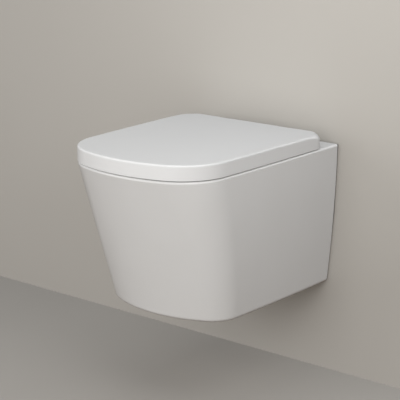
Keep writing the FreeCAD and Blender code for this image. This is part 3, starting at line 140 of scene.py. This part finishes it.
def remap(tree, value, low, high, new_low, new_high):
    """Carries the range low to high over to the new one, and holds the ends."""
    node = add_node(tree, "ShaderNodeMapRange", clamp=True)
    tree.links.new(value, node.inputs["Value"])
    ends = {"From Min": low, "From Max": high, "To Min": new_low, "To Max": new_high}
    for label, number in ends.items():
        node.inputs[label].default_value = number
    return node.outputs["Result"]


# %% [markdown]
# ## Shared surface effects
# Three effects come back on many finishes, so each is a group that every finish can use with
# its own numbers. Fine grain is the small unevenness of a moulded or fired skin. One noise
# texture gives it, with its size given in metres, because that is how one sees it.

# %% Build the fine grain
def build_fine_grain():
    group, start, end = new_group(
        "fine_grain",
        [
            ("Vector", "NodeSocketVector", None),
            ("Size", "NodeSocketFloat", 0.002),
            ("Detail", "NodeSocketFloat", 2.0),
            ("Softness", "NodeSocketFloat", 0.5),
        ],
        [("Height", "NodeSocketFloat")],
    )
    scale = calculate(group, "DIVIDE", 1.0, start.outputs["Size"])
    noise = add_node(group, "ShaderNodeTexNoise", noise_dimensions="3D")
    group.links.new(start.outputs["Vector"], noise.inputs["Vector"])
    group.links.new(scale, noise.inputs["Scale"])
    group.links.new(start.outputs["Detail"], noise.inputs["Detail"])
    group.links.new(start.outputs["Softness"], noise.inputs["Roughness"])
    group.links.new(noise.outputs["Fac"], end.inputs["Height"])
    return group


FINE_GRAIN = build_fine_grain()

# %% [markdown]
# Cloudiness is a slow change of tone over centimetres, as in the depth of a glaze. It is the
# same noise, stretched about its middle so that its contrast can be set.

# %% Build the cloudiness
def build_cloudiness():
    group, start, end = new_group(
        "cloudiness",
        [
            ("Vector", "NodeSocketVector", None),
            ("Size", "NodeSocketFloat", 0.08),
            ("Contrast", "NodeSocketFloat", 1.0),
        ],
        [("Amount", "NodeSocketFloat")],
    )
    scale = calculate(group, "DIVIDE", 1.0, start.outputs["Size"])
    noise = add_node(group, "ShaderNodeTexNoise", noise_dimensions="3D", Detail=2.0, Roughness=0.45)
    group.links.new(start.outputs["Vector"], noise.inputs["Vector"])
    group.links.new(scale, noise.inputs["Scale"])
    centred = calculate(group, "SUBTRACT", noise.outputs["Fac"], 0.5)
    stretched = calculate(group, "MULTIPLY", centred, start.outputs["Contrast"])
    group.links.new(calculate(group, "ADD", stretched, 0.5, clamp=True), end.inputs["Amount"])
    return group


CLOUDINESS = build_cloudiness()

# %% [markdown]
# Edge wear is the rub of hands, cloths and spanners on edges that stick out. The renderer
# knows how pointed a surface is, and a patchy noise breaks that edge up so that it doesn't look
# drawn on.

# %% Build the edge wear
def build_edge_wear():
    group, start, end = new_group(
        "edge_wear",
        [
            ("Vector", "NodeSocketVector", None),
            ("Edge", "NodeSocketFloat", 0.5),
            ("Reach", "NodeSocketFloat", 0.55),
            ("Patch Size", "NodeSocketFloat", 0.01),
        ],
        [("Mask", "NodeSocketFloat")],
    )
    flat, pointed = 0.5, 0.62
    edge = remap(group, start.outputs["Edge"], flat, pointed, 0.0, 1.0)
    scale = calculate(group, "DIVIDE", 1.0, start.outputs["Patch Size"])
    noise = add_node(group, "ShaderNodeTexNoise", noise_dimensions="3D", Detail=4.0, Roughness=0.6)
    group.links.new(start.outputs["Vector"], noise.inputs["Vector"])
    group.links.new(scale, noise.inputs["Scale"])
    patches = calculate(group, "GREATER_THAN", noise.outputs["Fac"], start.outputs["Reach"])
    group.links.new(calculate(group, "MULTIPLY", edge, patches, clamp=True), end.inputs["Mask"])
    return group


EDGE_WEAR = build_edge_wear()
print("effect groups:", [group.name for group in bpy.data.node_groups])

# %% [markdown]
# ## A start for every material
# Each finish begins with the same few nodes: its shader, and the coordinates of the piece
# itself, so that a pattern stays on the piece as the piece moves.

# %% Helpers for a finish
def start_material(name):
    """A material with its graph, its Principled BSDF and the piece's own coordinates."""
    material = bpy.data.materials.new(name)
    material.use_nodes = True
    tree = material.node_tree
    surface = tree.nodes["Principled BSDF"]
    place = add_node(tree, "ShaderNodeTexCoord").outputs["Object"]
    return material, tree, surface, place


def use_effect(tree, group, place, **values):
    """One shared effect with its own numbers; edge wear also gets the surface's pointedness."""
    node = add_node(tree, "ShaderNodeGroup", node_tree=group)
    tree.links.new(place, node.inputs["Vector"])
    for name, number in values.items():
        node.inputs[name.replace("_", " ")].default_value = number
    if "Edge" in node.inputs:
        geometry = add_node(tree, "ShaderNodeNewGeometry")
        tree.links.new(geometry.outputs["Pointiness"], node.inputs["Edge"])
    return node.outputs[0]


def blend_colours(tree, amount, first, second):
    """One colour where amount is 0, another where it is 1; each is a socket or three numbers."""
    mix = add_node(tree, "ShaderNodeMix", data_type="RGBA")
    tree.links.new(amount, mix.inputs["Factor"])
    for label, colour in (("A", first), ("B", second)):
        if isinstance(colour, tuple):
            mix.inputs[label].default_value = (*colour, 1.0)
        else:
            tree.links.new(colour, mix.inputs[label])
    return mix.outputs["Result"]


def blend_numbers(tree, amount, first, second):
    """One number where amount is 0, another where it is 1; each is a socket or a number."""
    mix = add_node(tree, "ShaderNodeMix", data_type="FLOAT")
    tree.links.new(amount, mix.inputs["Factor"])
    for label, number in (("A", first), ("B", second)):
        if isinstance(number, (int, float)):
            mix.inputs[label].default_value = number
        else:
            tree.links.new(number, mix.inputs[label])
    return mix.outputs["Result"]


def raise_surface(tree, surface, height, distance, strength):
    """Bumps the surface by a height field that is distance metres deep."""
    bump = add_node(tree, "ShaderNodeBump", Strength=strength, Distance=distance)
    tree.links.new(height, bump.inputs["Height"])
    tree.links.new(bump.outputs["Normal"], surface.inputs["Normal"])


# %% [markdown]
# ## Glazed china
# Vitreous china is fired clay under a white glaze. The glaze is glassy, but it flows a little
# in the kiln, so reflections wander softly over centimetres, its white has a faint cloud in it,
# and a few pin-sized specks stay in it. A satin body under a thin clear coat says this well.
# The flat back is hidden against the wall, so it is left unglazed: the same material turns to
# dull, slightly buff clay behind a wavering line near the wall.

# %% Mix the china
SPECK_COLOUR = (0.52, 0.47, 0.40)
GLAZE_END = (-0.0008, -0.0002)  # metres from the wall, before the line wavers
LINE_WAVER = 0.0016


def mix_china(name, dark, light, clay):
    material, tree, surface, place = start_material(name)
    cloud = use_effect(tree, CLOUDINESS, place, Size=0.11, Contrast=1.4)
    glaze = blend_colours(tree, cloud, dark, light)
    specks = add_node(tree, "ShaderNodeTexVoronoi", feature="F1", Scale=55.0, Randomness=1.0)
    tree.links.new(place, specks.inputs["Vector"])
    speck = remap(tree, specks.outputs["Distance"], 0.012, 0.03, 0.15, 0.0)
    glaze = blend_colours(tree, speck, glaze, SPECK_COLOUR)
    depth = add_node(tree, "ShaderNodeSeparateXYZ")
    tree.links.new(place, depth.inputs[0])
    waver = use_effect(tree, FINE_GRAIN, place, Size=0.012, Detail=2.0)
    waver = calculate(tree, "MULTIPLY", waver, LINE_WAVER)
    line = calculate(tree, "ADD", depth.outputs["Y"], waver)
    bare = remap(tree, line, *GLAZE_END, 0.0, 1.0)
    tree.links.new(blend_colours(tree, bare, glaze, clay), surface.inputs["Base Color"])
    sheen = remap(tree, cloud, 0.2, 0.8, 0.285, 0.34)
    tree.links.new(blend_numbers(tree, bare, sheen, 0.78), surface.inputs["Roughness"])
    tree.links.new(blend_numbers(tree, bare, 0.3, 0.0), surface.inputs["Coat Weight"])
    flow = use_effect(tree, FINE_GRAIN, place, Size=0.05, Detail=0.0)
    grit = use_effect(tree, FINE_GRAIN, place, Size=0.0012, Detail=3.0, Softness=0.7)
    height = blend_numbers(tree, bare, flow, calculate(tree, "MULTIPLY", grit, 0.25))
    raise_surface(tree, surface, height, 0.0005, 0.5)
    surface.inputs["Coat Roughness"].default_value = 0.14
    surface.inputs["IOR"].default_value = 1.5
    return material


china = mix_china(
    "glazed_china",
    dark=(0.800, 0.795, 0.780),
    light=(0.825, 0.822, 0.812),
    clay=(0.66, 0.63, 0.57),
)
print("china is mixed with", len(china.node_tree.nodes), "nodes")

# %% [markdown]
# ## Hard plastic
# Seat and lid are pressed from a hard white thermoset. Its skin copies the polished mould, with
# an even sheen, a barely visible orange peel, and random patches of a little more rub.
# The hinge blocks, buttons, sleeves and dampers are softer mouldings, so they get a coarser peel
# and, where they are dark or grey, paler edges.

# %% Mix the plastics
def mix_plastic(name, dark, light, roughness=0.36, peel=0.000006, wear=False):
    """A moulding; peel is the depth of its orange peel in metres, and wear pales its edges."""
    material, tree, surface, place = start_material(name)
    cloud = use_effect(tree, CLOUDINESS, place, Size=0.14, Contrast=1.0)
    colour = blend_colours(tree, cloud, dark, light)
    if wear:
        mask = use_effect(tree, EDGE_WEAR, place, Reach=0.5, Patch_Size=0.004)
        pale = tuple(min(1.0, part * 1.25 + 0.03) for part in light)
        colour = blend_colours(tree, mask, colour, pale)
    tree.links.new(colour, surface.inputs["Base Color"])
    rub = use_effect(tree, CLOUDINESS, place, Size=0.04, Contrast=1.4)
    sheen = remap(tree, rub, 0.1, 0.9, roughness - 0.02, roughness + 0.04)
    tree.links.new(sheen, surface.inputs["Roughness"])
    skin = use_effect(tree, FINE_GRAIN, place, Size=0.0022, Detail=1.0)
    raise_surface(tree, surface, skin, peel, 0.6)
    return material


lid_plastic = mix_plastic("lid_plastic", (0.812, 0.812, 0.805), (0.832, 0.832, 0.826))
seat_plastic = mix_plastic("seat_plastic", (0.800, 0.800, 0.792), (0.822, 0.822, 0.815))
hinge_plastic = mix_plastic(
    "hinge_plastic", (0.76, 0.76, 0.75), (0.79, 0.79, 0.78), roughness=0.3, peel=0.00004
)
button_plastic = mix_plastic(
    "button_plastic",
    (0.42, 0.43, 0.44),
    (0.47, 0.48, 0.49),
    roughness=0.32,
    peel=0.00004,
    wear=True,
)
diverter_plastic = mix_plastic(
    "diverter_plastic", (0.70, 0.70, 0.69), (0.75, 0.75, 0.74), roughness=0.35, peel=0.00005
)
sleeve_plastic = mix_plastic(
    "sleeve_plastic", (0.60, 0.60, 0.56), (0.66, 0.66, 0.62), roughness=0.42, peel=0.00006
)
damper_plastic = mix_plastic(
    "damper_plastic",
    (0.012, 0.012, 0.013),
    (0.02, 0.02, 0.022),
    roughness=0.42,
    peel=0.00006,
    wear=True,
)
print("plastics:", [m.name for m in bpy.data.materials if m.name.endswith("plastic")])


# %% [markdown]
# ## Rubber and foam
# Rubber seals and buffers are matt and catch dust in their pores. The mat behind the china is a
# closed-cell foam: a crowd of small cells, each a shallow dimple. Its very dark grey is partly its
# own colour and partly painted shade, which turns the narrow gap between china and wall into a dark
# shadow line.

# %% Mix rubber and foam
def mix_rubber(name, dark, light):
    material, tree, surface, place = start_material(name)
    cloud = use_effect(tree, CLOUDINESS, place, Size=0.012, Contrast=1.8)
    tree.links.new(blend_colours(tree, cloud, dark, light), surface.inputs["Base Color"])
    tree.links.new(remap(tree, cloud, 0.1, 0.9, 0.55, 0.75), surface.inputs["Roughness"])
    pores = use_effect(tree, FINE_GRAIN, place, Size=0.0008, Detail=3.0, Softness=0.7)
    raise_surface(tree, surface, pores, 0.00008, 0.5)
    return material


def mix_foam(name, dark, light):
    material, tree, surface, place = start_material(name)
    cells = add_node(tree, "ShaderNodeTexVoronoi", feature="SMOOTH_F1", Scale=520.0)
    tree.links.new(place, cells.inputs["Vector"])
    cell = cells.outputs["Distance"]
    wall_share = remap(tree, cell, 0.0, 0.7, 0.0, 1.0)
    tree.links.new(blend_colours(tree, wall_share, dark, light), surface.inputs["Base Color"])
    tree.links.new(remap(tree, cell, 0.0, 0.7, 0.7, 0.9), surface.inputs["Roughness"])
    raise_surface(tree, surface, cell, 0.0006, 0.6)
    return material


seal_rubber = mix_rubber("seal_rubber", (0.014, 0.014, 0.014), (0.03, 0.03, 0.03))
buffer_rubber = mix_rubber("buffer_rubber", (0.62, 0.62, 0.60), (0.70, 0.70, 0.68))
# Partly painted shade: the mat's very dark grey stands in for the shadow in the gap at the wall.
mat_foam = mix_foam("mat_foam", (0.035, 0.035, 0.037), (0.10, 0.10, 0.104))


# %% [markdown]
# ## Steel and brass
# Turned and stamped metal keeps fine lines from the tool. Noise that is squeezed along one axis
# gives those lines, and edges that hands and spanners meet are brighter.

# %% Mix the metals
def mix_metal(name, dark, light, roughness, lines=(1.0, 1.0, 30.0)):
    """A metal with tool lines; lines says how much the noise is squeezed along each axis."""
    material, tree, surface, place = start_material(name)
    stretch = add_node(tree, "ShaderNodeMapping")
    stretch.inputs["Scale"].default_value = lines
    tree.links.new(place, stretch.inputs["Vector"])
    lined = stretch.outputs["Vector"]
    streak = use_effect(tree, FINE_GRAIN, lined, Size=0.008, Detail=3.0, Softness=0.7)
    wear = use_effect(tree, EDGE_WEAR, place, Reach=0.45, Patch_Size=0.003)
    mask = calculate(tree, "ADD", remap(tree, streak, 0.3, 0.7, 0.0, 0.6), wear, clamp=True)
    tree.links.new(blend_colours(tree, mask, dark, light), surface.inputs["Base Color"])
    polish = remap(tree, streak, 0.2, 0.8, roughness + 0.1, roughness - 0.05)
    tree.links.new(polish, surface.inputs["Roughness"])
    surface.inputs["Metallic"].default_value = 1.0
    raise_surface(tree, surface, streak, 0.00004, 0.4)
    return material


fixing_steel = mix_metal("fixing_steel", (0.46, 0.47, 0.48), (0.66, 0.67, 0.68), 0.34)
base_steel = mix_metal("base_steel", (0.56, 0.56, 0.56), (0.74, 0.74, 0.73), 0.24)
pin_steel = mix_metal("pin_steel", (0.56, 0.56, 0.56), (0.74, 0.74, 0.73), 0.2, (30.0, 1.0, 1.0))
spring_steel = mix_metal("spring_steel", (0.40, 0.40, 0.41), (0.6, 0.6, 0.6), 0.28)
nut_brass = mix_metal("nut_brass", (0.56, 0.38, 0.14), (0.76, 0.56, 0.26), 0.28)
print("materials:", len(bpy.data.materials))

# %% [markdown]
# ## Put the finishes on the solids
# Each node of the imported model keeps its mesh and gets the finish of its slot.

# %% Dress the nodes
FINISHES = {
    "china": china,
    "lid_plastic": lid_plastic,
    "seat_plastic": seat_plastic,
    "hinge_plastic": hinge_plastic,
    "button_plastic": button_plastic,
    "diverter_plastic": diverter_plastic,
    "sleeve_plastic": sleeve_plastic,
    "damper_plastic": damper_plastic,
    "seal_rubber": seal_rubber,
    "buffer_rubber": buffer_rubber,
    "mat_foam": mat_foam,
    "fixing_steel": fixing_steel,
    "base_steel": base_steel,
    "pin_steel": pin_steel,
    "spring_steel": spring_steel,
    "nut_brass": nut_brass,
}
slot_of = {row["node"]: row["material_slot"] for row in frame["record"]["subparts"]}
for name, node in frame["nodes"].items():
    for material_slot in node.material_slots:
        material_slot.material = FINISHES[slot_of[name]]
print("dressed", len(frame["nodes"]), "nodes")

# %% [markdown]
# ## Helpers for new pieces
# Two small details are too fine for the solids: the wire of the button springs, and the ribs
# that keep a fingertip from slipping off a button. Each is made in a bmesh, its faces are turned
# outwards, and the finished mesh becomes an object that stays at the origin.

# %% Finish a piece
MERGE_DISTANCE = 0.000001


def finish_piece(name, form, body, finish):
    """Turns a bmesh into a smooth-shaded piece that rides on a body."""
    bmesh.ops.remove_doubles(form, verts=form.verts, dist=MERGE_DISTANCE)
    bmesh.ops.recalc_face_normals(form, faces=form.faces)
    mesh = bpy.data.meshes.new(name)
    form.to_mesh(mesh)
    form.free()
    for face in mesh.polygons:
        face.use_smooth = True
    mesh.materials.append(FINISHES[finish])
    piece = bpy.data.objects.new(name, mesh)
    scene.collection.objects.link(piece)
    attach(piece, body)
    print(name, len(mesh.polygons), "faces")
    return piece


# %% [markdown]
# ## Button springs
# A thin coil spring behind each release button pushes it back out. The solids only hold its
# space. The real thing is wire that is wound on a mandrel, and a spin does the same: the round
# section of the wire goes round the spring's axis and moves along it a little at each step.

# %% Wind the springs
WIRE_RADIUS = 0.0002
WIRE_SIDES = 8
COIL_TURNS = 11
STEPS_A_TURN = 16
spring_low, spring_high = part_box("button_springs")


def wind_spring(name, side):
    """The spring on the right (side 1) or left (side -1), fixed on the root body."""
    outside = (spring_high.z - spring_low.z) / 2
    axis_x = side * (spring_high.x - outside)
    axis_z = (spring_low.z + spring_high.z) / 2
    length = spring_high.y - spring_low.y - 2 * WIRE_RADIUS
    form = bmesh.new()
    bmesh.ops.create_circle(form, segments=WIRE_SIDES, radius=WIRE_RADIUS)
    start = Vector((axis_x + outside - WIRE_RADIUS, spring_low.y + WIRE_RADIUS, axis_z))
    bmesh.ops.translate(form, verts=form.verts, vec=start)
    steps = COIL_TURNS * STEPS_A_TURN
    bmesh.ops.spin(
        form,
        geom=form.verts[:] + form.edges[:],
        cent=(axis_x, 0.0, axis_z),
        axis=(0, 1, 0),
        dvec=(0, length / steps, 0),
        angle=2 * math.pi * COIL_TURNS,
        steps=steps,
    )
    open_edges = [edge for edge in form.edges if edge.is_boundary]
    bmesh.ops.holes_fill(form, edges=open_edges, sides=WIRE_SIDES)
    piece = finish_piece(name, form, "root", "spring_steel")
    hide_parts("button_springs")
    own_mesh(piece)


wind_spring("spring_coil_right", 1)
wind_spring("spring_coil_left", -1)

# %% [markdown]
# ## Grip ribs
# Three low ribs across the face of each release button give the fingertip a hold. A rib is a
# short bar with its edges bevelled until it is a soft ridge, and it sits half in the button.

# %% Put ribs on the buttons
RIB_HEIGHT = 0.0007
RIB_PROUD = 0.0004
RIB_WIDTH_SHARE = 0.62
RIB_PLACES = (0.27, 0.5, 0.73)  # as shares of the height of the button's face
RIB_BEVEL = 0.00022
FACE_HEIGHT = 0.0064


def rib_button(name, node, body):
    """Three ribs on the front face of one release button."""
    low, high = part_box(node)
    form = bmesh.new()
    width = (high.x - low.x) * RIB_WIDTH_SHARE
    for share in RIB_PLACES:
        bar = bmesh.ops.create_cube(form, size=1.0)["verts"]
        bmesh.ops.scale(form, verts=bar, vec=(width, 2 * RIB_PROUD, RIB_HEIGHT))
        height = high.z - FACE_HEIGHT + share * FACE_HEIGHT
        bmesh.ops.translate(form, verts=bar, vec=((low.x + high.x) / 2, low.y, height))
    bmesh.ops.bevel(
        form,
        geom=form.edges[:],
        offset=RIB_BEVEL,
        offset_type="OFFSET",
        segments=2,
        profile=0.5,
        affect="EDGES",
        material=-1,
    )
    finish_piece(name, form, body, "button_plastic")


rib_button("grip_ribs_right", "release_button_right", "button_right")
rib_button("grip_ribs_left", "release_button_left", "button_left")

# %% [markdown]
# ## Floor, wall and light
# The toilet hangs on a wall over a floor, so both are there as a plain backdrop. The wall shows
# only to a camera in front of it: from behind, and to all other rays, it lets everything pass,
# so the back of the china can be looked at too. The floor is see-through from below, for a look
# at the underside. To the object it is a darker, warm floor, which keeps the underside in shade.

# %% Build floor and wall
FLOOR_HEIGHT = -0.4285
FLOOR_FRONT = -3.0
STAGE_REACH = 6.0
WALL_PLACE = cad_high.y + 0.0005
SEEN_FLOOR = ((0.47, 0.445, 0.41), (0.51, 0.485, 0.45))
FELT_FLOOR = (0.16, 0.12, 0.085)
SEEN_WALL = ((0.50, 0.475, 0.435), (0.54, 0.515, 0.475))


def make_sheet(name, corner, along, up, material):
    """A flat rectangle from a corner and two sides."""
    form = bmesh.new()
    bmesh.ops.create_grid(form, x_segments=1, y_segments=1, size=0.5)
    side, rise = Vector(along), Vector(up)
    turn = Matrix((side, rise, side.cross(rise).normalized())).transposed().to_4x4()
    middle = Matrix.Translation(Vector(corner) + (side + rise) / 2)
    bmesh.ops.transform(form, matrix=middle @ turn, verts=form.verts)
    mesh = bpy.data.meshes.new(name)
    form.to_mesh(mesh)
    form.free()
    sheet = bpy.data.objects.new(name, mesh)
    scene.collection.objects.link(sheet)
    mesh.materials.append(material)


def mix_backdrop(name, dark, light):
    """Matt paint with a slow change of tone."""
    material, tree, surface, place = start_material(name)
    cloud = use_effect(tree, CLOUDINESS, place, Size=0.6, Contrast=0.8)
    colour = blend_colours(tree, cloud, dark, light)
    tree.links.new(colour, surface.inputs["Base Color"])
    surface.inputs["Roughness"].default_value = 0.8
    surface.inputs["Specular IOR Level"].default_value = 0.2
    return material, tree, surface, colour


def show_through(tree, surface, amount):
    """Lets light and sight pass where amount is 1."""
    clear = add_node(tree, "ShaderNodeBsdfTransparent")
    choice = add_node(tree, "ShaderNodeMixShader")
    tree.links.new(amount, choice.inputs[0])
    tree.links.new(surface.outputs[0], choice.inputs[1])
    tree.links.new(clear.outputs[0], choice.inputs[2])
    tree.links.new(choice.outputs[0], tree.nodes["Material Output"].inputs["Surface"])


floor_paint, floor_tree, floor_surface, floor_colour = mix_backdrop("floor_paint", *SEEN_FLOOR)
paths = add_node(floor_tree, "ShaderNodeLightPath")
shown = blend_colours(floor_tree, paths.outputs["Is Camera Ray"], FELT_FLOOR, floor_colour)
floor_tree.links.new(shown, floor_surface.inputs["Base Color"])
from_below = add_node(floor_tree, "ShaderNodeNewGeometry").outputs["Backfacing"]
hidden = calculate(floor_tree, "MULTIPLY", paths.outputs["Is Camera Ray"], from_below)
show_through(floor_tree, floor_surface, hidden)

wall_paint, wall_tree, wall_surface, _ = mix_backdrop("wall_paint", *SEEN_WALL)
paths = add_node(wall_tree, "ShaderNodeLightPath")
from_behind = add_node(wall_tree, "ShaderNodeNewGeometry").outputs["Backfacing"]
front_only = calculate(wall_tree, "SUBTRACT", 1.0, from_behind)
seen = calculate(wall_tree, "MULTIPLY", paths.outputs["Is Camera Ray"], front_only)
show_through(wall_tree, wall_surface, calculate(wall_tree, "SUBTRACT", 1.0, seen))

across = (2 * STAGE_REACH, 0, 0)
floor_corner = (-STAGE_REACH, FLOOR_FRONT, FLOOR_HEIGHT)
wall_corner = (-STAGE_REACH, WALL_PLACE, FLOOR_HEIGHT)
make_sheet("floor", floor_corner, across, (0, STAGE_REACH - FLOOR_FRONT, 0), floor_paint)
make_sheet("wall", wall_corner, across, (0, 0, STAGE_REACH), wall_paint)
print("floor at", FLOOR_HEIGHT, "wall at", round(WALL_PLACE, 4))

# %% [markdown]
# ## Light
# Six soft square lamps stand round the toilet, each given by its bearing from the front, its
# height over the horizon, its distance and its size. The front one does most. Two near ones, over
# the lid and at its right, fall off down the china and the wall, as daylight from a high window
# does. One behind is there only for views of the back, and a dim grey world fills the rest. The
# front lamp stays out of reflections, or the lid would mirror it as white glare from behind.

# %% Light the scene
LAMPS = {
    # name: bearing and rise in degrees, distance and side in metres, power in watts
    "front": (12, 15, 3.0, 2.3, 41.0),
    "left": (-42, 16, 3.0, 2.2, 24.5),
    "right": (75, 15, 3.0, 2.2, 12.6),
    "near_right": (60, 40, 1.3, 0.8, 3.9),
    "near_top": (0, 82, 1.1, 0.8, 2.3),
    "back": (155, 20, 3.0, 1.6, 12.0),
}
WORLD_LIGHT = 0.2
WORLD_SHOWN = 0.42
world = bpy.data.worlds.new("studio")
scene.world = world
world.use_nodes = True
sky = world.node_tree
sky.nodes["Background"].inputs["Color"].default_value = (1.0, 1.0, 1.0, 1.0)
rays = add_node(sky, "ShaderNodeLightPath")
mirrored = calculate(sky, "ADD", rays.outputs["Is Glossy Ray"], rays.outputs["Is Transmission Ray"])
visible = calculate(sky, "ADD", rays.outputs["Is Camera Ray"], mirrored, clamp=True)
strength = remap(sky, visible, 0.0, 1.0, WORLD_LIGHT, WORLD_SHOWN)
sky.links.new(strength, sky.nodes["Background"].inputs["Strength"])
for name, (bearing, rise, distance, side_length, power) in LAMPS.items():
    lamp = bpy.data.lights.new(name, "AREA")
    lamp.shape = "SQUARE"
    lamp.size, lamp.energy = side_length, power
    holder = bpy.data.objects.new(name, lamp)
    scene.collection.objects.link(holder)
    holder.visible_camera = False
    holder.visible_glossy = name != "front"
    bearing, rise = math.radians(bearing), math.radians(rise)
    towards = Vector(
        (math.sin(bearing) * math.cos(rise), -math.cos(bearing) * math.cos(rise), math.sin(rise))
    )
    holder.location = middle + towards * distance
    holder.rotation_mode = "QUATERNION"
    holder.rotation_quaternion = (-towards).to_track_quat("-Z", "Y")
print("lamps:", list(LAMPS))
